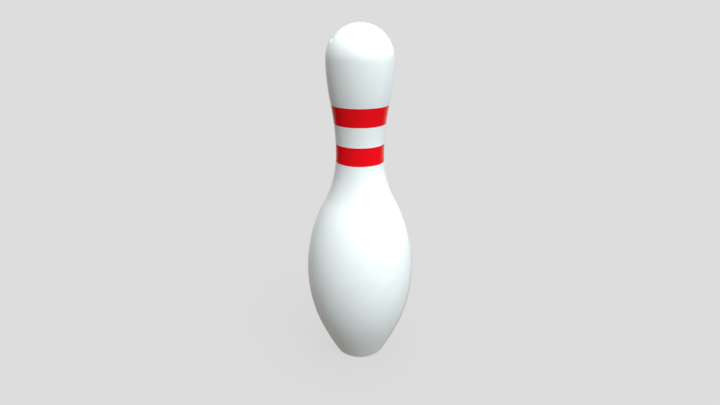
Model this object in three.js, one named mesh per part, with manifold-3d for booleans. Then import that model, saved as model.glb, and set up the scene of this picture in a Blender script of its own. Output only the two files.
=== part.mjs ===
// A ten-pin bowling pin, taken apart the way it is made.
//
// The core is rock maple: a billet of three full-length planks, glued face to face and cross-bored to set
// the weight, with four wing blocks glued on to give the belly its width, all turned to one outline. A nylon
// base insert is plugged and nailed into the foot, a tough plastic shell is moulded over the wood, and two
// coloured stripes lie flush in the shell round the neck.
//
// Millimetres, +Z up. The origin is the centre of the foot, on the surface that the pin stands on.

import * as THREE from "three";
import { mergeVertices } from "three/addons/utils/BufferGeometryUtils.js";
import Module from "manifold-3d";

// ------------------------------------------------------------ driving dimensions

// Outline. Each rise is measured from the station below it.
const FOOT_EDGE_RADIUS = 4; // rounding between the floor and the flank
const FOOT_RISE = 40; // height of the flatter arc that leads up from the foot
const FOOT_ARC_RADIUS = 400;
const BELLY_RADIUS = 61.2;
const FOOT_TO_BELLY = 108.6;
const FLANK_ARC_RADIUS = 180; // from that arc up to the belly
const NECK_RADIUS = 26;
const BELLY_TO_NECK = 140;
const SHOULDER_SHARE = 0.595; // how far up that rise the outline turns from bulging to hollow
const HEAD_RADIUS = 35.2; // the crown is a hemisphere of this radius
const NECK_TO_HEAD = 97.2;
const HEAD_SHARE = 0.435; // how far down from the head the outline turns hollow again

// Shell and stripes.
const SHELL_THICKNESS = 3.0;
const STRIPE_HEIGHT = 19.7;
const STRIPE_SPACING = 21.4; // bare shell between the two stripes
const STRIPE_DROP = 8.5; // the lower stripe's bottom edge, below the narrowest point of the neck
const STRIPE_THICKNESS = 0.3;

// Wooden core.
const PLANK_NAMES = ["core_plank_left", "core_plank_centre", "core_plank_right"];
const TURNING_ALLOWANCE = 1.3; // wood left on each side of the head when the billet is squared
const RELIEF_BORE_RADIUS = 14;
const RELIEF_BORE_SPACING = 60; // between the two cross bores, centred on the belly

// Base insert and its nails.
const RIM_HEIGHT = 4.0; // the part of the insert that shows below the shell
const FLANGE_HEIGHT = 9.5; // floor to the underside of the wood
const HUB_RADIUS = 12.7;
const HUB_HEIGHT = 22; // above the flange
const BARB_DEPTH = 0.7;
const BARB_COUNT = 4;
const SPINDLE_HOLE_RADIUS = 8;
const NAIL_COUNT = 4;
const NAIL_LENGTH = 32;
const NAIL_SHANK_RADIUS = 1.5;
const NAIL_HEAD_RADIUS = 3.2;
const NAIL_HEAD_THICKNESS = 0.6; // the flat disc above the countersunk cone
const NAIL_RECESS = 1.0; // head sunk this far above the floor
const NAIL_RING_COUNT = 6;
const NAIL_RING_DEPTH = 0.25;
const NAIL_POINT_LENGTH = 4;

// Space left between neighbours: a glue line in the wood, a running fit for the insert and the nails.
const CLEARANCE = 0.3;

const OVERCUT = 1; // how far a cutting solid runs past the face that it cuts

// Facets.
const ROUND_STEPS = 36; // a multiple of four, so that corners lie on both axes
const BORE_STEPS = 16;
const EDGE_STEPS = 4;
const NAIL_STEPS = 12;
const ARC_STEP = 10; // degrees of outline turned through in one facet
const LONGEST_STEP = 20; // millimetres, on the flattest stretches

// ------------------------------------------------------------ places worked out from them

const BELLY_Z = FOOT_TO_BELLY;
const NECK_Z = BELLY_Z + BELLY_TO_NECK;
const HEAD_Z = NECK_Z + NECK_TO_HEAD;
const CORE_INSET = SHELL_THICKNESS + CLEARANCE;
const CORE_BOTTOM_Z = FLANGE_HEIGHT + CLEARANCE;
const CORE_TOP_Z = HEAD_Z + HEAD_RADIUS - CORE_INSET;
const HUB_TOP_Z = FLANGE_HEIGHT + HUB_HEIGHT;
const BILLET_HALF = HEAD_RADIUS - CORE_INSET + TURNING_ALLOWANCE;
const LOWER_STRIPE_Z = NECK_Z - STRIPE_DROP;
const UPPER_STRIPE_Z = LOWER_STRIPE_Z + STRIPE_HEIGHT + STRIPE_SPACING;
const STRIPE_STARTS = [LOWER_STRIPE_Z, UPPER_STRIPE_Z];

// ------------------------------------------------------------ outline: seven arcs, tangent end to end

// Two arcs that join a wide station to a narrow one, both vertical there. `share` of the rise is bulging.
function sCurve(wide, narrow, rise, share) {
  const across = wide - narrow;
  const radii = (across * across + rise * rise) / (2 * across);
  return { bulge: share * radii, hollow: (1 - share) * radii, turn: Math.asin(rise / radii) };
}

// The arc from the floor up that meets `above` at a height, with no kink between them.
function arcBelow(above, meetZ, radius) {
  const meet = Math.asin((meetZ - above.centreZ) / above.radius);
  const centreR = above.centreR + (above.radius - radius) * Math.cos(meet);
  const centreZ = above.centreZ + (above.radius - radius) * Math.sin(meet);
  return { centreR, centreZ, radius, side: 1, from: Math.asin(-centreZ / radius), to: meet };
}

// A point of an arc lies at (centreR + side * radius * cos a, centreZ + radius * sin a). Where it is hollow,
// side is -1.
function outlineArcs() {
  const shoulder = sCurve(BELLY_RADIUS, NECK_RADIUS, BELLY_TO_NECK, SHOULDER_SHARE);
  const nape = sCurve(HEAD_RADIUS, NECK_RADIUS, NECK_TO_HEAD, HEAD_SHARE);
  const arc = (extreme, centreZ, radius, side, from, to) => {
    return { centreR: extreme - side * radius, centreZ, radius, side, from, to };
  };
  const flank = arc(BELLY_RADIUS, BELLY_Z, FLANK_ARC_RADIUS, 1, -Math.PI / 2, 0);
  const foot = arcBelow(flank, FOOT_RISE, FOOT_ARC_RADIUS);
  return [
    foot,
    { ...flank, from: foot.to },
    arc(BELLY_RADIUS, BELLY_Z, shoulder.bulge, 1, 0, shoulder.turn),
    arc(NECK_RADIUS, NECK_Z, shoulder.hollow, -1, -shoulder.turn, 0),
    arc(NECK_RADIUS, NECK_Z, nape.hollow, -1, 0, nape.turn),
    arc(HEAD_RADIUS, HEAD_Z, nape.bulge, 1, -nape.turn, 0),
    arc(HEAD_RADIUS, HEAD_Z, HEAD_RADIUS, 1, 0, Math.PI / 2),
  ];
}

const ARCS = outlineArcs();

// The outline from one height to another, going up, set in from the surface by `inset` along its normal.
function outline(fromZ, toZ, inset = 0) {
  const points = [];
  for (const arc of ARCS) {
    const radius = arc.radius - arc.side * inset;
    const angleAt = (z) => {
      return Math.asin(THREE.MathUtils.clamp((z - arc.centreZ) / radius, -1, 1));
    };
    const from = Math.max(arc.from, angleAt(fromZ));
    const to = Math.min(arc.to, angleAt(toZ));
    if (to - from < 1e-6) continue;
    const degrees = THREE.MathUtils.radToDeg(to - from);
    const steps = Math.ceil(Math.max(degrees / ARC_STEP, ((to - from) * radius) / LONGEST_STEP));
    for (let i = points.length ? 1 : 0; i <= steps; i++) {
      const a = from + ((to - from) * i) / steps;
      const r = Math.max(0, arc.centreR + arc.side * radius * Math.cos(a));
      points.push(new THREE.Vector2(r < 1e-6 ? 0 : r, arc.centreZ + radius * Math.sin(a)));
    }
  }
  return points;
}

// The rounding between the floor and the flank, from the edge of the flat foot upwards.
function footEdge() {
  const foot = ARCS[0];
  const tilt = -foot.from; // the foot's side leans out this far from the vertical
  const cornerR = foot.centreR + foot.radius * Math.cos(foot.from);
  const flatR = cornerR - FOOT_EDGE_RADIUS * Math.tan(Math.PI / 4 - tilt / 2);
  const points = [];
  for (let i = 0; i <= EDGE_STEPS; i++) {
    const a = -Math.PI / 2 + ((Math.PI / 2 - tilt) * i) / EDGE_STEPS;
    const r = flatR + FOOT_EDGE_RADIUS * Math.cos(a);
    points.push(new THREE.Vector2(r, FOOT_EDGE_RADIUS * (1 + Math.sin(a))));
  }
  return { flatR, points };
}

const FOOT_EDGE = footEdge();
const NAIL_PITCH_RADIUS = (HUB_RADIUS + FOOT_EDGE.flatR) / 2;

// ------------------------------------------------------------ solids

const wasm = await Module();
wasm.setup();

function solidFrom(geometry) {
  const bare = geometry.index ? geometry.toNonIndexed() : geometry.clone();
  bare.deleteAttribute("normal");
  bare.deleteAttribute("uv");
  const merged = mergeVertices(bare, 1e-4);
  const vertProperties = merged.attributes.position.array;
  const triVerts = new Uint32Array(merged.index.array);
  return new wasm.Manifold(new wasm.Mesh({ numProp: 3, vertProperties, triVerts }));
}

function geometryFrom(solid) {
  const mesh = solid.getMesh();
  const positions = new Float32Array(mesh.numVert * 3);
  for (let i = 0; i < mesh.numVert; i++) {
    positions.set(mesh.vertProperties.subarray(i * mesh.numProp, i * mesh.numProp + 3), i * 3);
  }
  return new THREE.BufferGeometry()
    .setAttribute("position", new THREE.BufferAttribute(positions, 3))
    .setIndex(new THREE.BufferAttribute(mesh.triVerts, 1));
}

// Turns an outline about the Z axis. It runs anticlockwise, with radius to the right and height up.
function turned(points, steps = ROUND_STEPS) {
  return new THREE.LatheGeometry(points, steps).rotateX(Math.PI / 2);
}

// A turned ring, whose outline stays off the axis and closes on itself.
function turnedRing(points) {
  return turned([...points, points[0].clone()]);
}

function cylinderBetween(radius, from, to, steps) {
  const points = [[0, from], [radius, from], [radius, to], [0, to]];
  return turned(points.map(([r, z]) => new THREE.Vector2(r, z)), steps);
}

function boxBetween(low, high) {
  const size = new THREE.Vector3().subVectors(high, low);
  const centre = new THREE.Vector3().addVectors(high, low).multiplyScalar(0.5);
  return new THREE.BoxGeometry(size.x, size.y, size.z).translate(centre.x, centre.y, centre.z);
}

// ------------------------------------------------------------ shell and stripes

const shellMaterial = new THREE.MeshStandardMaterial({ color: 0xf3f5f5, roughness: 0.12, metalness: 0 });
const stripeMaterial = new THREE.MeshStandardMaterial({ color: 0xd20a11, roughness: 0.15, metalness: 0 });

// Outer face of the shell, with a shallow seat for each stripe.
function shellFace() {
  const seatDepth = STRIPE_THICKNESS + CLEARANCE;
  const points = [];
  let from = RIM_HEIGHT + CLEARANCE;
  for (const start of STRIPE_STARTS) {
    const low = start - CLEARANCE;
    const high = start + STRIPE_HEIGHT + CLEARANCE;
    points.push(...outline(from, low), ...outline(low, high, seatDepth));
    from = high;
  }
  return [...points, ...outline(from, Infinity)];
}

function plasticShell() {
  const lining = outline(RIM_HEIGHT + CLEARANCE, Infinity, SHELL_THICKNESS);
  return turned([...lining.reverse(), ...shellFace()]);
}

function neckStripe(startZ) {
  const face = outline(startZ, startZ + STRIPE_HEIGHT);
  const back = outline(startZ, startZ + STRIPE_HEIGHT, STRIPE_THICKNESS);
  return turnedRing([...face, ...back.reverse()]);
}

// ------------------------------------------------------------ wooden core

const billetMaterial = new THREE.MeshStandardMaterial({ color: 0xd9b98a, roughness: 0.6, metalness: 0 });
const wingMaterial = new THREE.MeshStandardMaterial({ color: 0xcfa972, roughness: 0.6, metalness: 0 });

// Where each nail stands, one in line with each side of the billet.
function nailPlaces() {
  return Array.from({ length: NAIL_COUNT }, (_, i) => {
    const a = (2 * Math.PI * i) / NAIL_COUNT;
    return new THREE.Vector3(NAIL_PITCH_RADIUS * Math.cos(a), NAIL_PITCH_RADIUS * Math.sin(a), 0);
  });
}

// The whole core as turned, bored for the hub and the nails from below and across the belly for the weight.
function turnedCore() {
  const face = outline(CORE_BOTTOM_Z, Infinity, CORE_INSET);
  let core = solidFrom(turned([new THREE.Vector2(0, CORE_BOTTOM_Z), ...face]));
  const below = CORE_BOTTOM_Z - OVERCUT;
  const hubBore = cylinderBetween(HUB_RADIUS + CLEARANCE, below, HUB_TOP_Z + CLEARANCE, ROUND_STEPS);
  core = core.subtract(solidFrom(hubBore));
  const nailTop = NAIL_RECESS + NAIL_LENGTH + CLEARANCE;
  for (const place of nailPlaces()) {
    const pilot = cylinderBetween(NAIL_SHANK_RADIUS + CLEARANCE, below, nailTop, NAIL_STEPS);
    core = core.subtract(solidFrom(pilot.translate(place.x, place.y, 0)));
  }
  const boreEnd = BILLET_HALF + CLEARANCE / 2; // in the glue line, where the wing blocks close it
  for (const side of [-1, 1]) {
    const z = BELLY_Z + (side * RELIEF_BORE_SPACING) / 2;
    const bore = cylinderBetween(RELIEF_BORE_RADIUS, -boreEnd, boreEnd, BORE_STEPS);
    core = core.subtract(solidFrom(bore.rotateY(Math.PI / 2).translate(0, 0, z)));
  }
  return core;
}

// The board that a core piece is cut from, as the space it takes up in the glued block.
function coreBoards() {
  const reach = Math.max(BELLY_RADIUS, BILLET_HALF) + OVERCUT;
  const bottom = CORE_BOTTOM_Z - OVERCUT;
  const top = CORE_TOP_Z + OVERCUT;
  const board = (x0, x1, y0, y1) => {
    return boxBetween(new THREE.Vector3(x0, y0, bottom), new THREE.Vector3(x1, y1, top));
  };
  const boards = {};
  const pitch = (2 * BILLET_HALF + CLEARANCE) / PLANK_NAMES.length;
  PLANK_NAMES.forEach((name, i) => {
    const x0 = -BILLET_HALF + i * pitch;
    boards[name] = board(x0, x0 + pitch - CLEARANCE, -BILLET_HALF, BILLET_HALF);
  });
  const glued = BILLET_HALF + CLEARANCE;
  boards.wing_block_left = board(-reach, -glued, -BILLET_HALF, BILLET_HALF);
  boards.wing_block_right = board(glued, reach, -BILLET_HALF, BILLET_HALF);
  boards.wing_block_front = board(-reach, reach, -reach, -glued);
  boards.wing_block_back = board(-reach, reach, glued, reach);
  return boards;
}

// ------------------------------------------------------------ base insert and nails

const nylonMaterial = new THREE.MeshStandardMaterial({ color: 0xe6e4da, roughness: 0.4, metalness: 0 });
const steelMaterial = new THREE.MeshStandardMaterial({ color: 0xb4b6b8, roughness: 0.35, metalness: 1 });

// Saw-tooth rings going up: each is widest at its lower edge, so that it slides in and won't pull out.
function barbs(radius, depth, fromZ, toZ, count) {
  const pitch = (toZ - fromZ) / count;
  const points = [];
  for (let i = 0; i < count; i++) {
    points.push(new THREE.Vector2(radius, fromZ + i * pitch));
    points.push(new THREE.Vector2(radius - depth, fromZ + (i + 1) * pitch));
  }
  return points;
}

// A nail's countersunk head from below, `grown` by a clearance where it is the hole for one.
function nailHead(bottomZ, grown) {
  const head = NAIL_HEAD_RADIUS + grown;
  const shank = NAIL_SHANK_RADIUS + grown;
  const coneZ = NAIL_RECESS + NAIL_HEAD_THICKNESS + grown;
  const points = [[0, bottomZ], [head, bottomZ], [head, coneZ], [shank, coneZ + head - shank]];
  return points.map(([r, z]) => new THREE.Vector2(r, z));
}

function baseNail() {
  const tipZ = NAIL_RECESS + NAIL_LENGTH;
  const ringsTop = tipZ - NAIL_POINT_LENGTH;
  const rings = barbs(NAIL_SHANK_RADIUS, NAIL_RING_DEPTH, CORE_BOTTOM_Z, ringsTop, NAIL_RING_COUNT);
  return turned([...nailHead(NAIL_RECESS, 0), ...rings, new THREE.Vector2(0, tipZ)], NAIL_STEPS);
}

function nailHole() {
  const top = FLANGE_HEIGHT + OVERCUT;
  const shank = NAIL_SHANK_RADIUS + CLEARANCE;
  const end = [new THREE.Vector2(shank, top), new THREE.Vector2(0, top)];
  return turned([...nailHead(-OVERCUT, CLEARANCE), ...end], NAIL_STEPS);
}

// The rounded rim that shows, the plug inside the shell's mouth, and the barbed hub up into the wood.
function baseInsert() {
  const rim = outline(FOOT_EDGE.points.at(-1).y, RIM_HEIGHT).slice(1);
  const plug = outline(RIM_HEIGHT, FLANGE_HEIGHT, CORE_INSET);
  const hub = barbs(HUB_RADIUS, BARB_DEPTH, FLANGE_HEIGHT, HUB_TOP_Z, BARB_COUNT);
  const hole = [new THREE.Vector2(SPINDLE_HOLE_RADIUS, HUB_TOP_Z), new THREE.Vector2(SPINDLE_HOLE_RADIUS, 0)];
  let insert = solidFrom(turnedRing([...FOOT_EDGE.points, ...rim, ...plug, ...hub, ...hole]));
  for (const place of nailPlaces()) {
    insert = insert.subtract(solidFrom(nailHole().translate(place.x, place.y, 0)));
  }
  return geometryFrom(insert);
}

// ------------------------------------------------------------ assembly

const pin = new THREE.Group();

function addMesh(name, geometry, material, place = new THREE.Vector3()) {
  const mesh = new THREE.Mesh(geometry, material);
  mesh.name = name;
  mesh.position.copy(place);
  pin.add(mesh);
}

addMesh("plastic_shell", plasticShell(), shellMaterial);
addMesh("lower_neck_stripe", neckStripe(LOWER_STRIPE_Z), stripeMaterial);
addMesh("upper_neck_stripe", neckStripe(UPPER_STRIPE_Z), stripeMaterial);

const core = turnedCore();
for (const [name, board] of Object.entries(coreBoards())) {
  const material = name.startsWith("wing") ? wingMaterial : billetMaterial;
  addMesh(name, geometryFrom(core.intersect(solidFrom(board))), material);
}

addMesh("base_insert", baseInsert(), nylonMaterial);
nailPlaces().forEach((place, i) => {
  addMesh(`base_nail_${i + 1}`, baseNail(), steelMaterial, place);
});

export default pin;
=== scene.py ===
"""A ten-pin bowling pin, from its maple core out to its plastic shell. Metres, in the part's own frame."""

import math

import bpy
import numpy as np
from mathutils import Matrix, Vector


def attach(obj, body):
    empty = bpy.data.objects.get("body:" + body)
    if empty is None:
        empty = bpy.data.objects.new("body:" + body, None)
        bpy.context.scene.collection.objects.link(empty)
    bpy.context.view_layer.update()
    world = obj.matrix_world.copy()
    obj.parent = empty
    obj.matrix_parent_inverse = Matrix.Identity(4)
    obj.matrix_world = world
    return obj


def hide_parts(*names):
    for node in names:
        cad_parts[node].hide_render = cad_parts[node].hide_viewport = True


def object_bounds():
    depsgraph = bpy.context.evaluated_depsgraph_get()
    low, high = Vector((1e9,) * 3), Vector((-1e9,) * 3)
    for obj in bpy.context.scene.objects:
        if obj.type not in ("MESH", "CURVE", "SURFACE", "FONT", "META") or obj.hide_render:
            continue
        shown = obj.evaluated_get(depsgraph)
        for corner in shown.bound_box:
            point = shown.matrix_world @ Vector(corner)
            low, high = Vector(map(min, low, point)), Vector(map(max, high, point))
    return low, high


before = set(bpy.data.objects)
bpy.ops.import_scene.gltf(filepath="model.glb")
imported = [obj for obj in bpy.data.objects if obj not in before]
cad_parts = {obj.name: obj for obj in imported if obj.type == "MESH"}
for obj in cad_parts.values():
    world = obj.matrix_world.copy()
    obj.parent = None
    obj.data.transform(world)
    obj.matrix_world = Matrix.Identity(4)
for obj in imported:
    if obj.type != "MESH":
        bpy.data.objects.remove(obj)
cad_low, cad_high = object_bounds()

# ---------------------------------------------------------------------------------------------------------
# The core: rock maple, three planks glued face to face with a wing block on each side, turned to the
# pin's outline on a lathe, bored across the belly for weight. It is sealed in the shell.
# ---------------------------------------------------------------------------------------------------------

MM = 0.001
CORE_BOARDS = {  # each board's pith, across the core in mm, and how far it was kiln-dried to a darker tone
    "core_plank_left": ((-95, 40), 0.35),
    "core_plank_centre": ((12, -150), 0.15),
    "core_plank_right": ((80, 110), 0.45),
    "wing_block_left": ((-150, -60), 0.7),
    "wing_block_right": ((130, -85), 0.55),
    "wing_block_front": ((-45, -170), 0.6),
    "wing_block_back": ((70, 160), 0.8),
}


def linear(colour):
    """An sRGB hex colour as linear RGBA: c / 12.92 where dark, ((c + 0.055) / 1.055) ** 2.4 elsewhere."""
    c = np.array([int(colour[i : i + 2], 16) for i in (1, 3, 5)]) / 255
    return (*np.where(c > 0.04045, ((c + 0.055) / 1.055) ** 2.4, c / 12.92), 1.0)


def add(tree, kind, settings, inputs):
    """A new node of a kind. An input, by name or number, takes a value or a link from another's output."""
    node = tree.nodes.new(kind)
    for name, value in settings.items():
        setattr(node, name, value)
    for name, value in inputs.items():
        if isinstance(value, bpy.types.NodeSocket):
            tree.links.new(value, node.inputs[name])
        else:
            node.inputs[name].default_value = value
    return node


def new_material(name):
    """A material whose node tree holds only its output, and that tree."""
    material = bpy.data.materials.new(name)
    material.use_nodes = True
    material.node_tree.nodes.clear()
    return material, material.node_tree


def maple(name, pith, toast):
    """Rock maple, kiln-dried, planed and turned: a close, even grain in pale straw with rings 2.5 mm apart,
    short dark rays 9 mm long, and a dull sheen where the cutter left it smooth. The rings stand round the
    board's pith and wander by a few millimetres. Fibres are 0.05 mm across, and are drawn at 0.7 mm."""
    material, tree = new_material(name)
    place = add(tree, "ShaderNodeTexCoord", {}, {}).outputs["Object"]
    along = {"Location": (-pith[0] * MM, -pith[1] * MM, 0), "Scale": (1, 1, 0.06)}
    grain = add(tree, "ShaderNodeMapping", {}, {"Vector": place, **along}).outputs[0]
    slow = {"Vector": grain, "Scale": 1 / (28 * MM), "Detail": 3}
    drift = add(tree, "ShaderNodeTexNoise", {}, slow).outputs["Color"]
    shift = {"operation": "MULTIPLY_ADD"}
    wander = (9 * MM, 9 * MM, 9 * MM)
    bent = add(tree, "ShaderNodeVectorMath", shift, {0: drift, 1: wander, 2: grain}).outputs[0]
    across = add(tree, "ShaderNodeVectorMath", {"operation": "MULTIPLY"}, {0: bent, 1: (1, 1, 0)}).outputs[0]
    reach = add(tree, "ShaderNodeVectorMath", {"operation": "LENGTH"}, {0: across}).outputs["Value"]
    turn = add(tree, "ShaderNodeMath", {"operation": "MULTIPLY"}, {0: reach, 1: 1 / (2.5 * MM)}).outputs[0]
    ring = add(tree, "ShaderNodeMath", {"operation": "FRACT"}, {0: turn}).outputs[0]
    latewood = add(tree, "ShaderNodeMath", {"operation": "POWER"}, {0: ring, 1: 5}).outputs[0]
    thin = {"Vector": grain, "Scale": 1 / (0.7 * MM), "Detail": 2}
    fibre = add(tree, "ShaderNodeTexNoise", {}, thin).outputs["Fac"]
    ray = {"Vector": place, "Scale": (1 / (1.1 * MM), 1 / (1.1 * MM), 1 / (9 * MM))}
    rays = add(tree, "ShaderNodeMapping", {}, ray).outputs[0]
    fleck = add(tree, "ShaderNodeTexNoise", {}, {"Vector": rays, "Scale": 1, "Detail": 1}).outputs["Fac"]
    flecks = {"From Min": 0.62, "From Max": 0.72, "To Max": 0.5}
    dark = add(tree, "ShaderNodeMapRange", {}, {"Value": fleck, **flecks}).outputs[0]
    tones = {"Factor": toast, 6: linear("#E3C79B"), 7: linear("#CFA873")}
    base = add(tree, "ShaderNodeMix", {"data_type": "RGBA"}, tones)
    line = {"data_type": "RGBA", "blend_type": "MULTIPLY"}
    ringed = add(tree, "ShaderNodeMix", line, {"Factor": latewood, 6: base.outputs[2], 7: linear("#C79C66")})
    rayed = add(tree, "ShaderNodeMix", line, {"Factor": dark, 6: ringed.outputs[2], 7: linear("#B98A58")})
    hair = {"From Min": 0.3, "From Max": 0.7, "To Min": 0.5, "To Max": 0.66}
    rough = add(tree, "ShaderNodeMapRange", {}, {"Value": fibre, **hair}).outputs[0]
    depth = {"Height": fibre, "Strength": 0.4, "Distance": 0.05 * MM}
    bump = add(tree, "ShaderNodeBump", {}, depth).outputs[0]
    surface = {"Base Color": rayed.outputs[2], "Roughness": rough, "Normal": bump, "IOR": 1.5}
    wood = add(tree, "ShaderNodeBsdfPrincipled", {}, surface)
    add(tree, "ShaderNodeOutputMaterial", {}, {"Surface": wood.outputs[0]})
    return material


for board, (pith, toast) in CORE_BOARDS.items():
    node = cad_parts[board]
    node.data.materials.clear()
    node.data.materials.append(maple("rock_maple_" + board, pith, toast))

# ---------------------------------------------------------------------------------------------------------
# The base insert: a nylon moulding with a rounded rim that the pin stands on, a plug that fills the
# shell's mouth, and a barbed hub pressed up into the wood. Four holes take its nails.
# ---------------------------------------------------------------------------------------------------------

# The pin's outline, from the foot up.
FOOT_EDGE_RADIUS = 4.0 * MM
FOOT_RISE = 40.0 * MM
FOOT_ARC_RADIUS = 400.0 * MM
BELLY_RADIUS = 61.2 * MM
BELLY_Z = 108.6 * MM
FLANK_ARC_RADIUS = 180.0 * MM
NECK_RADIUS = 26.0 * MM
NECK_Z = 248.6 * MM
SHOULDER_SHARE = 0.595
HEAD_RADIUS = 35.2 * MM
HEAD_Z = 345.8 * MM
HEAD_SHARE = 0.435


def s_curve(wide, narrow, rise, share):
    """Radii of two arcs that join a wide station to a narrow one, upright at both, and the angle they turn:
    their sum is (w^2 + h^2) / 2w for w across and h up, and the bulging arc has `share` of it."""
    total = ((wide - narrow) ** 2 + rise**2) / (2 * (wide - narrow))
    return share * total, (1 - share) * total, math.asin(rise / total)


def outline_arcs():
    """The seven arcs of the outline, from the foot up. A row is an arc's centre (r, z), radius, side (1 where
    it bulges and -1 where it is hollow), and the angle above level at which it ends."""
    bulge, hollow, turn = s_curve(BELLY_RADIUS, NECK_RADIUS, NECK_Z - BELLY_Z, SHOULDER_SHARE)
    cheek, nape, nape_turn = s_curve(HEAD_RADIUS, NECK_RADIUS, HEAD_Z - NECK_Z, HEAD_SHARE)
    flank_r = BELLY_RADIUS - FLANK_ARC_RADIUS
    meet = math.asin((FOOT_RISE - BELLY_Z) / FLANK_ARC_RADIUS)
    lean = FLANK_ARC_RADIUS - FOOT_ARC_RADIUS
    foot_r, foot_z = flank_r + lean * math.cos(meet), BELLY_Z + lean * math.sin(meet)
    return np.array(
        [
            (foot_r, foot_z, FOOT_ARC_RADIUS, 1, meet),
            (flank_r, BELLY_Z, FLANK_ARC_RADIUS, 1, 0),
            (BELLY_RADIUS - bulge, BELLY_Z, bulge, 1, turn),
            (NECK_RADIUS + hollow, NECK_Z, hollow, -1, 0),
            (NECK_RADIUS + nape, NECK_Z, nape, -1, nape_turn),
            (HEAD_RADIUS - cheek, HEAD_Z, cheek, 1, 0),
            (0, HEAD_Z, HEAD_RADIUS, 1, math.pi / 2),
        ]
    )


def outline(z, inset=0.0):
    """Radius of the outline at each height, for a skin `inset` below the surface along its normal. An arc's
    radius becomes p = radius - side * inset, and r = centre_r + side * sqrt(p^2 - (z - centre_z)^2)."""
    centre_r, centre_z, radius, side, end = outline_arcs().T
    p = radius - side * inset
    which = np.searchsorted((centre_z + p * np.sin(end))[:-1], z)
    rise = np.clip(p[which] ** 2 - (z - centre_z[which]) ** 2, 0, None)
    return np.maximum(centre_r[which] + side[which] * np.sqrt(rise), 0)


def skin(low, high, inset, rows):
    """Points (r, z) down the outline from one height to another, evenly spaced in height."""
    z = np.linspace(high, low, rows)
    return np.stack([outline(z, inset), z], 1)


def rounded(centre, radius, start, end, rows):
    """Points (r, z) of a rounding: centre + radius (cos a, sin a), with a from start to end in degrees."""
    a = np.radians(np.linspace(start, end, rows))
    return np.asarray(centre) + radius * np.stack([np.cos(a), np.sin(a)], 1)


def revolve(profile, columns):
    """A profile of (r, z) points turned round Z: row i, column j is (r_i cos t_j, r_i sin t_j, z_i), and t_j
    goes once round, so that the last column lies on the first."""
    r, z = np.asarray(profile, float).T[:, :, None]
    t = np.linspace(0, 2 * np.pi, columns + 1)
    return np.stack([r * np.cos(t), r * np.sin(t), z + 0 * t], 2)


SAME_PLACE = 0.0005 * MM  # points nearer than this are one vertex
CREASE = math.radians(35)  # edges that turn by more than this stay sharp


def piece(name, sheets, material, replaces):
    """One mesh from sheets of points, rows by columns, whose edges meet: points in the same place become one
    vertex, so seams close, and a cell that has shrunk to three corners, at a pole, becomes a triangle. The
    mesh rides on the body, takes the material it is given, and stands for the nodes it replaces."""
    points, cells, start = [], [], 0
    for sheet in sheets:
        rows, columns = sheet.shape[:2]
        index = start + np.arange(rows * columns).reshape(rows, columns)
        corners = index[:-1, :-1], index[1:, :-1], index[1:, 1:], index[:-1, 1:]
        cells.append(np.stack([c.ravel() for c in corners], 1))
        points.append(sheet.reshape(-1, 3))
        start += rows * columns
    points, cells = np.concatenate(points), np.concatenate(cells)
    spot = np.round(points / SAME_PLACE)
    _, first, same = np.unique(spot, axis=0, return_index=True, return_inverse=True)
    cells = same.reshape(-1)[cells]
    pole_above, pole_below = cells[:, 0] == cells[:, 3], cells[:, 1] == cells[:, 2]
    quads = cells[~pole_above & ~pole_below]
    triangles = np.concatenate([cells[pole_above][:, [0, 1, 2]], cells[pole_below][:, [0, 1, 3]]])
    mesh = bpy.data.meshes.new(name)
    mesh.from_pydata(points[first].tolist(), [], quads.tolist() + triangles.tolist())
    mesh.shade_smooth()
    mesh.set_sharp_from_angle(angle=CREASE)
    mesh.materials.append(material)
    made = bpy.data.objects.new(name, mesh)
    bpy.context.collection.objects.link(made)
    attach(made, "root")
    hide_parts(*replaces)
    return made


RIM_HEIGHT = 4.0 * MM
FLANGE_HEIGHT = 9.5 * MM
PLUG_INSET = 3.3 * MM  # the shell's thickness, and room to slide in
HUB_RADIUS = 12.7 * MM
HUB_TOP = 31.5 * MM
BARB_DEPTH = 0.7 * MM
BARB_COUNT = 4
SPINDLE_HOLE_RADIUS = 8.0 * MM
CORNER = 0.25 * MM  # broken off the outer corner at the joint with the shell
NAIL_HEAD_RADIUS = 3.2 * MM
NAIL_SHANK_RADIUS = 1.5 * MM
NAIL_RECESS = 1.0 * MM
NAIL_HEAD_THICKNESS = 0.6 * MM
FIT = 0.3 * MM  # room round a nail
INSERT_COLUMNS = 144

foot_arc = outline_arcs()[0]
foot_tilt = math.asin(foot_arc[1] / FOOT_ARC_RADIUS)  # how far the foot's side leans out from upright
foot_corner = foot_arc[0] + FOOT_ARC_RADIUS * math.cos(foot_tilt)
FLAT_RADIUS = foot_corner - FOOT_EDGE_RADIUS * math.tan(math.pi / 4 - foot_tilt / 2)
NAIL_PITCH_RADIUS = (HUB_RADIUS + FLAT_RADIUS) / 2


def saw_teeth(radius, depth, low, high, count):
    """Points (r, z) down a barbed stem: tooth i is radius - depth wide at its upper edge and radius at its
    lower one, so that it slides in and won't pull out."""
    pitch = (high - low) / count
    z = low + pitch * np.arange(count, 0, -1)
    tops, feet = (np.full(count, radius - depth), z), (np.full(count, radius), z - pitch)
    return np.stack([np.stack(tops, 1), np.stack(feet, 1)], 1).reshape(-1, 2)


def quarters(sheet):
    """The sheet and its copies at a quarter, half and three quarters of a turn round Z."""
    x, y, z = np.moveaxis(sheet, 2, 0)
    return [np.stack(p, 2) for p in ((x, y, z), (-y, x, z), (-x, -y, z), (y, -x, z))]


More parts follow.
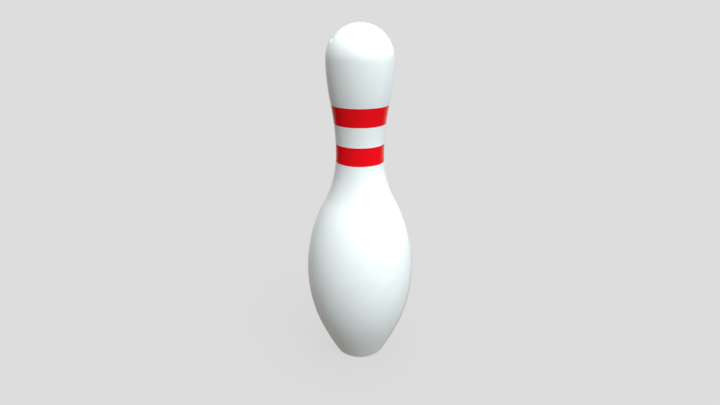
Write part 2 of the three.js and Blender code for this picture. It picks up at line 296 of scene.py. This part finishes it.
def round_hole(inner, outer):
    """The border of a quarter of the ring from inner to outer, anticlockwise round the nail's place, and the
    direction of each of its points from there, as (x, y) points and unit vectors."""
    bend, span = np.radians(np.linspace(-45, 45, INSERT_COLUMNS // 4 + 1)), np.linspace(inner, outer, 9)
    r = np.concatenate([0 * bend + outer, span[-2::-1], 0 * bend[1:] + inner, span[1:]])
    a = np.concatenate([bend, 0 * span[1:] + bend[-1], bend[-2::-1], 0 * span[1:] + bend[0]])
    border = np.stack([r * np.cos(a), r * np.sin(a)], 1)
    away = border - (NAIL_PITCH_RADIUS, 0)
    return border, away / np.linalg.norm(away, axis=1)[:, None]


def holed_ring(inner, outer, hole, z):
    """A quarter of the flat ring from inner to outer at height z, facing up: (1 - t) h + t b, where b runs
    round the quarter's border, h is the point of the nail's hole in line with it, and t goes from 0 to 1."""
    border, way = round_hole(inner, outer)
    t = np.linspace(0, 1, 7)[:, None, None]
    flat = (1 - t) * ((NAIL_PITCH_RADIUS, 0) + hole * way) + t * border
    return np.concatenate([flat, np.full((*flat.shape[:2], 1), z)], 2)


def hole_wall(radii, heights, ways):
    """A nail hole's wall going up, facing its axis: row i is the nail's place + r_i (unit vectors) at z_i."""
    rows = [(NAIL_PITCH_RADIUS, 0) + r * way for r, way in zip(radii, ways)]
    return np.concatenate([np.stack(rows), np.repeat(heights, len(ways[0])).reshape(len(rows), -1, 1)], 2)


def base_insert():
    """The insert in strips: the spindle hole's wall, the hub, and the plug, rim and rounded edge, turned
    round Z, then a holed ring above the flange and one under the foot, and the wall of each nail's hole."""
    teeth = saw_teeth(HUB_RADIUS, BARB_DEPTH, FLANGE_HEIGHT, HUB_TOP, BARB_COUNT)
    plug = skin(RIM_HEIGHT, FLANGE_HEIGHT, PLUG_INSET, 6)
    corner = [(outline(np.array([RIM_HEIGHT]))[0] - CORNER, RIM_HEIGHT)]
    rim = skin(FOOT_EDGE_RADIUS * (1 - math.sin(foot_tilt)), RIM_HEIGHT - CORNER, 0, 6)
    turn = -math.degrees(foot_tilt), -90
    edge = rounded((FLAT_RADIUS, FOOT_EDGE_RADIUS), FOOT_EDGE_RADIUS, *turn, 12)
    hub = [(SPINDLE_HOLE_RADIUS, HUB_TOP), *teeth]
    bore = [(SPINDLE_HOLE_RADIUS, 0), (SPINDLE_HOLE_RADIUS, HUB_TOP)]
    turned = [revolve(p, INSERT_COLUMNS) for p in (bore, hub, [*plug, *corner, *rim, *edge[1:]])]
    head, shank = NAIL_HEAD_RADIUS + FIT, NAIL_SHANK_RADIUS + FIT
    cone = NAIL_RECESS + NAIL_HEAD_THICKNESS + FIT
    above = holed_ring(HUB_RADIUS, plug[0, 0], shank, FLANGE_HEIGHT)
    below = holed_ring(SPINDLE_HOLE_RADIUS, FLAT_RADIUS, head, 0)[:, ::-1]
    low, high = round_hole(SPINDLE_HOLE_RADIUS, FLAT_RADIUS)[1], round_hole(HUB_RADIUS, plug[0, 0])[1]
    heights = 0, cone, cone + head - shank, FLANGE_HEIGHT
    wall = hole_wall((head, head, shank, shank), heights, (low, low, high, high))
    return [*turned, *quarters(above), *quarters(below), *quarters(wall)]


def nylon():
    """Nylon 6, injection moulded, natural: milky white and faintly warm, semi-matte with the mould's fine
    spark texture. The ring that it stands on is rubbed smoother and a little grey by the pin deck."""
    material, tree = new_material("natural_nylon_moulded")
    place = add(tree, "ShaderNodeTexCoord", {}, {}).outputs["Object"]
    # The spark texture is 0.15 mm across. It is drawn at 0.5 mm, so that it shows.
    grit = {"Vector": place, "Scale": 1 / (0.5 * MM), "Detail": 2}
    spark = add(tree, "ShaderNodeTexNoise", {}, grit).outputs["Fac"]
    soft = {"Vector": place, "Scale": 1 / (6 * MM), "Detail": 4}
    cloud = add(tree, "ShaderNodeTexNoise", {}, soft).outputs["Fac"]
    patch = add(tree, "ShaderNodeMapRange", {}, {"Value": cloud, "From Min": 0.3, "From Max": 0.7}).outputs[0]
    height = add(tree, "ShaderNodeSeparateXYZ", {}, {0: place}).outputs["Z"]
    low = {"Value": height, "From Min": 0.9 * MM, "From Max": 0.0}
    near = add(tree, "ShaderNodeMapRange", {"interpolation_type": "SMOOTHSTEP"}, low).outputs[0]
    rubbed = add(tree, "ShaderNodeMath", {"operation": "MULTIPLY"}, {0: near, 1: patch}).outputs[0]
    # Curved scuffs, 1.5 mm apart, from being spun and slid on its foot. At scale 1 rings are pi / 10 apart.
    rings = {"wave_type": "RINGS", "rings_direction": "Z", "wave_profile": "SAW"}
    sweep = {"Vector": place, "Scale": math.pi / 10 / (1.5 * MM), "Distortion": 6, "Detail": 3}
    sweep["Detail Scale"] = 2
    scuff = add(tree, "ShaderNodeTexWave", rings, sweep).outputs["Fac"]
    marks = add(tree, "ShaderNodeMath", {"operation": "MULTIPLY"}, {0: scuff, 1: rubbed}).outputs[0]
    mix = {"data_type": "RGBA"}
    tones = {"Factor": patch, 6: linear("#EEEDE8"), 7: linear("#E9E7E0")}
    base = add(tree, "ShaderNodeMix", mix, tones).outputs[2]
    grey = add(tree, "ShaderNodeMix", mix, {"Factor": rubbed, 6: base, 7: linear("#DDDBD4")}).outputs[2]
    worn = add(tree, "ShaderNodeMix", mix, {"Factor": marks, 6: grey, 7: linear("#B4B1AA")}).outputs[2]
    shine = {"Value": rubbed, "To Min": 0.46, "To Max": 0.3}
    rough = add(tree, "ShaderNodeMapRange", {}, shine).outputs[0]
    relief = {"Height": spark, "Strength": 0.5, "Distance": 0.03 * MM}
    bump = add(tree, "ShaderNodeBump", {}, relief).outputs[0]
    surface = {"Base Color": worn, "Roughness": rough, "Normal": bump, "IOR": 1.53}
    surface |= {"Subsurface Weight": 0.15, "Subsurface Radius": (1, 0.9, 0.75), "Subsurface Scale": 2 * MM}
    plastic = add(tree, "ShaderNodeBsdfPrincipled", {}, surface)
    add(tree, "ShaderNodeOutputMaterial", {}, {"Surface": plastic.outputs[0]})
    return material


piece("moulded_base_insert", base_insert(), nylon(), ["base_insert"])

# ---------------------------------------------------------------------------------------------------------
# The nails: four bright steel ring-shank nails, driven up through the insert's flange into the core. Their
# heads lie sunk in countersinks, clear of the deck.
# ---------------------------------------------------------------------------------------------------------

NAIL_LENGTH = 32.0 * MM
NAIL_POINT_LENGTH = 4.0 * MM
NAIL_RING_DEPTH = 0.25 * MM
NAIL_RING_COUNT = 12
NAIL_RINGS_START = 9.8 * MM
NAIL_HEAD_EDGE = 0.15 * MM
NAIL_COLUMNS = 48


def ring_shank_nail(x, y):
    """A nail turned round its own axis and moved to (x, y), from the tip down: the point, a grip of saw-tooth
    rings, the plain shank, a cone as high as it is wide, and a flat head with its edge broken."""
    tip = NAIL_RECESS + NAIL_LENGTH
    thin, wide, shoulder = NAIL_SHANK_RADIUS, NAIL_HEAD_RADIUS, NAIL_RECESS + NAIL_HEAD_THICKNESS
    grip = saw_teeth(thin, NAIL_RING_DEPTH, NAIL_RINGS_START, tip - NAIL_POINT_LENGTH, NAIL_RING_COUNT)
    cone = [(thin, shoulder + wide - thin), (wide, shoulder)]
    bevel = [(wide, NAIL_RECESS + NAIL_HEAD_EDGE), (wide - NAIL_HEAD_EDGE, NAIL_RECESS)]
    head = [(wide * share, NAIL_RECESS) for share in (0.75, 0.5, 0.25, 0)]
    return [revolve([(0, tip), *grip, *cone, *bevel, *head], NAIL_COLUMNS) + (x, y, 0)]


def bright_steel():
    """Low-carbon steel wire, drawn, headed and left bright: a cool grey metal with a satin sheen, fine draw
    lines along the shank, and a head that the hammer has dulled in spots."""
    material, tree = new_material("bright_drawn_steel")
    place = add(tree, "ShaderNodeTexCoord", {}, {}).outputs["Object"]
    # Draw lines are 0.05 mm apart and run on for centimetres. They are drawn at 0.3 mm.
    line = {"Vector": place, "Scale": (1 / (0.3 * MM), 1 / (0.3 * MM), 1 / (11 * MM))}
    drawn = add(tree, "ShaderNodeMapping", {}, line).outputs[0]
    lines = add(tree, "ShaderNodeTexNoise", {}, {"Vector": drawn, "Scale": 1, "Detail": 1}).outputs["Fac"]
    dents = {"Vector": place, "Scale": 1 / (1.1 * MM), "Detail": 3}
    spots = add(tree, "ShaderNodeTexNoise", {}, dents).outputs["Fac"]
    dull = {"Value": spots, "From Min": 0.35, "From Max": 0.7, "To Min": 0.28, "To Max": 0.46}
    rough = add(tree, "ShaderNodeMapRange", {}, dull).outputs[0]
    tones = {"Factor": spots, 6: linear("#C9CBCD"), 7: linear("#A3A19C")}
    tone = add(tree, "ShaderNodeMix", {"data_type": "RGBA"}, tones).outputs[2]
    relief = {"Height": lines, "Strength": 0.3, "Distance": 0.02 * MM}
    bump = add(tree, "ShaderNodeBump", {}, relief).outputs[0]
    surface = {"Base Color": tone, "Metallic": 1.0, "Roughness": rough, "Normal": bump}
    metal = add(tree, "ShaderNodeBsdfPrincipled", {}, surface)
    add(tree, "ShaderNodeOutputMaterial", {}, {"Surface": metal.outputs[0]})
    return material


steel = bright_steel()
for number, (x, y) in enumerate(((1, 0), (0, 1), (-1, 0), (0, -1)), 1):
    nail = ring_shank_nail(x * NAIL_PITCH_RADIUS, y * NAIL_PITCH_RADIUS)
    piece(f"ring_shank_nail_{number}", nail, steel, [f"base_nail_{number}"])

# ---------------------------------------------------------------------------------------------------------
# The shell: a skin of tough white ionomer plastic, 3 mm thick, moulded over the core in one piece and
# sprayed with a clear gloss finish. It stops above the insert's rim, and has a seat for each stripe.
# ---------------------------------------------------------------------------------------------------------

SHELL_THICKNESS = 3.0 * MM
SHELL_LIP = 4.3 * MM
STRIPE_HEIGHT = 19.7 * MM
STRIPE_STARTS = (240.1 * MM, 281.2 * MM)
STRIPE_THICKNESS = 0.3 * MM
SEAT_GAP = 0.02 * MM  # too fine to see, so that each stripe looks printed in
SHELL_COLUMNS = 160
FACE_STEP = 2.0 * MM
LINING_STEP = 4.0 * MM


def stretch(low, high, inset=0.0, step=FACE_STEP):
    """Points (r, z) down the outline from high to low, at most one step apart in height."""
    return skin(low, high, inset, math.ceil((high - low) / step) + 1)


def shell_profile():
    """Points (r, z) from the crown down the face, in and out of the two seats, round the lip and up the
    lining to the crown again. The crown is a quarter circle, (R cos a, z + R sin a), inside and out."""
    seat = STRIPE_THICKNESS + SEAT_GAP
    face, top = [*rounded((0, HEAD_Z), HEAD_RADIUS, 90, 0, 36)], HEAD_Z
    face[0] = np.array((0, HEAD_Z + HEAD_RADIUS))
    for start in reversed(STRIPE_STARTS):
        low, high = start - SEAT_GAP, start + STRIPE_HEIGHT + SEAT_GAP
        face += [*stretch(high, top)[top == HEAD_Z :], *stretch(low, high, seat)]
        top = low
    face += [*stretch(SHELL_LIP + CORNER, top), (outline(np.array([SHELL_LIP]))[0] - CORNER, SHELL_LIP)]
    lining = stretch(SHELL_LIP, HEAD_Z, SHELL_THICKNESS, LINING_STEP)[::-1]
    dome = rounded((0, HEAD_Z), HEAD_RADIUS - SHELL_THICKNESS, 0, 90, 20)[1:]
    dome[-1, 0] = 0
    return [*face, *lining, *dome]


def clear_gloss(tree, place):
    """Bump of the sprayed clear finish: soft waves 22 mm long left by the mould, at most 0.05 mm high, and
    orange peel 3 mm across from the spray, at most 0.004 mm. Only reflections show them."""
    long, short = ({"Vector": place, "Scale": 1 / (size * MM), "Detail": 1} for size in (22, 3))
    waves = add(tree, "ShaderNodeTexNoise", {}, long).outputs["Fac"]
    peel = add(tree, "ShaderNodeTexNoise", {}, short).outputs["Fac"]
    first = {"Height": waves, "Strength": 1.0, "Distance": 0.05 * MM}
    slow = add(tree, "ShaderNodeBump", {}, first).outputs[0]
    second = {"Height": peel, "Strength": 1.0, "Distance": 0.004 * MM, "Normal": slow}
    return add(tree, "ShaderNodeBump", {}, second).outputs[0]


def ionomer():
    """White ionomer, moulded and clear sprayed: a cool white that lets light in by a millimetre or two,
    under a deep gloss. Round the belly, where pins strike one another, patches 17 mm across are duller."""
    material, tree = new_material("white_ionomer_clear_sprayed")
    place = add(tree, "ShaderNodeTexCoord", {}, {}).outputs["Object"]
    height = add(tree, "ShaderNodeSeparateXYZ", {}, {0: place}).outputs["Z"]
    # The belly's band, where the rubbing is: whole from 95 to 120 mm up, and gone by 50 and 165 mm.
    up = {"Value": height, "From Min": 50 * MM, "From Max": 95 * MM}
    down = {"Value": height, "From Min": 165 * MM, "From Max": 120 * MM}
    soft = {"interpolation_type": "SMOOTHSTEP"}
    rising = add(tree, "ShaderNodeMapRange", soft, up).outputs[0]
    falling = add(tree, "ShaderNodeMapRange", soft, down).outputs[0]
    band = add(tree, "ShaderNodeMath", {"operation": "MULTIPLY"}, {0: rising, 1: falling}).outputs[0]
    cloudy = {"Vector": place, "Scale": 1 / (17 * MM), "Detail": 5}
    cloud = add(tree, "ShaderNodeTexNoise", {}, cloudy).outputs["Fac"]
    whole = {"Value": cloud, "From Min": 0.45, "From Max": 0.75}
    patch = add(tree, "ShaderNodeMapRange", {}, whole).outputs[0]
    rubbed = add(tree, "ShaderNodeMath", {"operation": "MULTIPLY"}, {0: band, 1: patch}).outputs[0]
    mix = {"data_type": "RGBA"}
    tones = {"Factor": cloud, 6: linear("#EAF5F6"), 7: linear("#E7F3F4")}
    white = add(tree, "ShaderNodeMix", mix, tones).outputs[2]
    tone = add(tree, "ShaderNodeMix", mix, {"Factor": rubbed, 6: white, 7: linear("#E6F0F1")}).outputs[2]
    shine = {"Value": rubbed, "To Min": 0.07, "To Max": 0.13}
    rough = add(tree, "ShaderNodeMapRange", {}, shine).outputs[0]
    surface = {"Base Color": tone, "Roughness": rough, "IOR": 1.5, "Normal": clear_gloss(tree, place)}
    surface |= {"Subsurface Weight": 0.1, "Subsurface Radius": (1, 0.95, 0.9), "Subsurface Scale": 1.5 * MM}
    plastic = add(tree, "ShaderNodeBsdfPrincipled", {}, surface)
    add(tree, "ShaderNodeOutputMaterial", {}, {"Surface": plastic.outputs[0]})
    return material


shell = [revolve(shell_profile(), SHELL_COLUMNS)]
piece("ionomer_shell", shell, ionomer(), ["plastic_shell"])

# ---------------------------------------------------------------------------------------------------------
# The neck stripes: two bands of red, printed round the neck in the shell's seats and covered by the same
# clear finish, so that they lie flush with the white.
# ---------------------------------------------------------------------------------------------------------


def stripe_profile(start):
    """Points (r, z) round a stripe's section: down its face, in, up its back and out to its start again."""
    face = stretch(start, start + STRIPE_HEIGHT)
    back = stretch(start, start + STRIPE_HEIGHT, STRIPE_THICKNESS)[::-1]
    return [*face, *back, face[0]]


def stripe_red():
    """Red screen ink under clear gloss: a strong red, even to the eye, with the faint unevenness that a
    squeegee leaves, in streaks 8 mm long and 1.1 mm high, and the same orange peel as the shell."""
    material, tree = new_material("red_ink_under_clear_gloss")
    place = add(tree, "ShaderNodeTexCoord", {}, {}).outputs["Object"]
    streak = {"Vector": place, "Scale": (1 / (8 * MM), 1 / (8 * MM), 1 / (1.1 * MM))}
    pull = add(tree, "ShaderNodeMapping", {}, streak).outputs[0]
    film = add(tree, "ShaderNodeTexNoise", {}, {"Vector": pull, "Scale": 1, "Detail": 2}).outputs["Fac"]
    tones = {"Factor": film, 6: linear("#F2121E"), 7: linear("#E8101A")}
    tone = add(tree, "ShaderNodeMix", {"data_type": "RGBA"}, tones).outputs[2]
    surface = {"Base Color": tone, "Roughness": 0.08, "IOR": 1.5, "Normal": clear_gloss(tree, place)}
    ink = add(tree, "ShaderNodeBsdfPrincipled", {}, surface)
    add(tree, "ShaderNodeOutputMaterial", {}, {"Surface": ink.outputs[0]})
    return material


red = stripe_red()
for level, start in zip(("lower", "upper"), STRIPE_STARTS):
    band = [revolve(stripe_profile(start), SHELL_COLUMNS)]
    piece(f"{level}_red_stripe", band, red, [f"{level}_neck_stripe"])

# ---------------------------------------------------------------------------------------------------------
# The studio: a plain pale floor, soft boxes all round at a great distance, so that the floor is lit evenly,
# two small lights for glints on the gloss, a lamp under the foot, and a camera a little above the pin.
# ---------------------------------------------------------------------------------------------------------

PALE_GREY = "#DDDDDD"
FLOOR_RADIUS = 12.0
FLOOR_SIDES = 64
FLOOR_GLOW = 0.865  # how much of the pale grey the floor gives out itself, so that shadows on it are weak
FLOOR_PAPER = "#424242"
SOFT_BOXES = {  # toward it, the angles from there at which it is whole and at which it ends, colour, strength
    "ceiling": ((0.0, 0.0, 1.0), 20, 75, "#FFFFFF", 1.2),
    "top": ((0.0, 0.0, 1.0), 5, 40, "#FFFFFF", 1.45),
    "key": ((0.25, -0.75, 0.62), 20, 42, "#FFFFFF", 2.65),
    "side_key": ((0.85, -0.25, 0.5), 20, 42, "#FFFFFF", 1.2),
    "rim": ((0.7, 0.6, 0.3), 25, 45, "#FFFFFF", 0.28),
    "back": ((0.0, 1.0, 0.3), 30, 60, "#FFFFFF", 0.25),
    "low_back": ((0.0, 0.8, -0.6), 30, 60, "#FFF4EC", 0.36),
    "left_fill": ((-0.85, -0.5, 0.05), 30, 55, "#FF8C60", 0.06),
    "ground": ((0.0, 0.0, -1.0), 30, 80, "#FFD8C0", 0.075),
}
STRIPS = {  # toward each small light, its width and height in metres at STRIP_DISTANCE, and its power
    "left_strip": ((-0.845, -0.42, 0.32), 0.14, 0.18, 0.25),
    "left_back_strip": ((-0.51, 0.78, 0.35), 0.2, 0.08, 0.2),
}
STRIP_DISTANCE = 1.5

floor_material, tree = new_material("pale_floor_paper")
glow = add(tree, "ShaderNodeEmission", {}, {"Color": linear(PALE_GREY), "Strength": FLOOR_GLOW})
paper = add(tree, "ShaderNodeBsdfDiffuse", {}, {"Color": linear(FLOOR_PAPER)})
lit = add(tree, "ShaderNodeAddShader", {}, {0: glow.outputs[0], 1: paper.outputs[0]})
# The floor's underside is clear, so that the foot can be seen from below.
under = add(tree, "ShaderNodeNewGeometry", {}, {}).outputs["Backfacing"]
clear = add(tree, "ShaderNodeBsdfTransparent", {}, {}).outputs[0]
seen = add(tree, "ShaderNodeMixShader", {}, {0: under, 1: lit.outputs[0], 2: clear})
add(tree, "ShaderNodeOutputMaterial", {}, {"Surface": seen.outputs[0]})

floor_mesh = bpy.data.meshes.new("pale_floor")
floor_grid = revolve([(0, 0), (FLOOR_RADIUS, 0)], FLOOR_SIDES)[1, :-1]
floor_mesh.from_pydata(floor_grid.tolist(), [], [list(range(FLOOR_SIDES))])
floor_mesh.materials.append(floor_material)
floor = bpy.data.objects.new("pale_floor", floor_mesh)
floor.visible_diffuse = floor.visible_glossy = floor.visible_transmission = floor.visible_shadow = False
bpy.context.collection.objects.link(floor)

world = bpy.data.worlds.new("studio")
bpy.context.scene.world = world
world.use_nodes = True
tree = world.node_tree
tree.nodes.clear()
toward = add(tree, "ShaderNodeTexCoord", {}, {}).outputs["Generated"]
total = add(tree, "ShaderNodeCombineXYZ", {}, {}).outputs[0]
for direction, whole, end, colour, strength in SOFT_BOXES.values():
    aim = np.array(direction) / np.linalg.norm(direction)
    facing = add(tree, "ShaderNodeVectorMath", {"operation": "DOT_PRODUCT"}, {0: toward, 1: aim})
    edge = {"From Min": math.cos(math.radians(end)), "From Max": math.cos(math.radians(whole))}
    edge["Value"] = facing.outputs["Value"]
    box = add(tree, "ShaderNodeMapRange", {"interpolation_type": "SMOOTHSTEP"}, edge).outputs[0]
    shade = tuple(strength * c for c in linear(colour)[:3])
    blend = {"operation": "MULTIPLY_ADD"}
    total = add(tree, "ShaderNodeVectorMath", blend, {0: box, 1: shade, 2: total}).outputs[0]
light = add(tree, "ShaderNodeBackground", {}, {"Color": total})
plain = add(tree, "ShaderNodeBackground", {}, {"Color": linear(PALE_GREY)})
direct = add(tree, "ShaderNodeLightPath", {}, {}).outputs["Is Camera Ray"]
sky = add(tree, "ShaderNodeMixShader", {}, {0: direct, 1: light.outputs[0], 2: plain.outputs[0]})
add(tree, "ShaderNodeOutputWorld", {}, {"Surface": sky.outputs[0]})

for name, (direction, width, height, power) in STRIPS.items():
    strip = bpy.data.lights.new(name, "AREA")
    strip.shape, strip.size, strip.size_y, strip.energy = "RECTANGLE", width, height, power
    holder = bpy.data.objects.new(name, strip)
    aim = Vector(direction).normalized()
    holder.location = aim * STRIP_DISTANCE + Vector((0, 0, cad_high.z / 2))
    holder.rotation_euler = aim.to_track_quat("Z", "Y").to_euler()
    holder.visible_camera = False
    bpy.context.collection.objects.link(holder)

# A narrow lamp shines straight up, on the flat of the foot only, so that it isn't left in the dark.
FOOT_LAMP_DISTANCE = 0.5
FOOT_LAMP_POWER = 5.0
FOOT_LAMP_SIZE = 0.01
FOOT_LAMP_BLEND = 0.15
FOOT_LAMP_SHARE = 0.94  # of the flat's radius, so that the rounded edge stays out of it

lamp = bpy.data.lights.new("foot_lamp", "SPOT")
lamp.energy, lamp.shadow_soft_size = FOOT_LAMP_POWER, FOOT_LAMP_SIZE
lamp.spot_size = 2 * math.atan(FOOT_LAMP_SHARE * FLAT_RADIUS / FOOT_LAMP_DISTANCE)
lamp.spot_blend = FOOT_LAMP_BLEND
foot_lamp = bpy.data.objects.new("foot_lamp", lamp)
foot_lamp.location, foot_lamp.rotation_euler = (0, 0, -FOOT_LAMP_DISTANCE), (math.pi, 0, 0)
bpy.context.collection.objects.link(foot_lamp)

CAMERA_DISTANCE = 0.5495
CAMERA_ELEVATION = 21.3
CAMERA_LENS = 24.445  # this and the sensor's width are in millimetres, as the camera takes them
CAMERA_SENSOR = 36.0

camera_data = bpy.data.cameras.new("camera")
camera_data.sensor_width = CAMERA_SENSOR
camera_data.lens = CAMERA_LENS
camera = bpy.data.objects.new("camera", camera_data)
rise = math.radians(CAMERA_ELEVATION)
middle = (cad_low.z + cad_high.z) / 2
camera.location = 0, -CAMERA_DISTANCE * math.cos(rise), middle + CAMERA_DISTANCE * math.sin(rise)
camera.rotation_euler = math.pi / 2 - rise, 0, 0
bpy.context.collection.objects.link(camera)
bpy.context.scene.camera = camera
bpy.context.scene.view_settings.view_transform = "Standard"
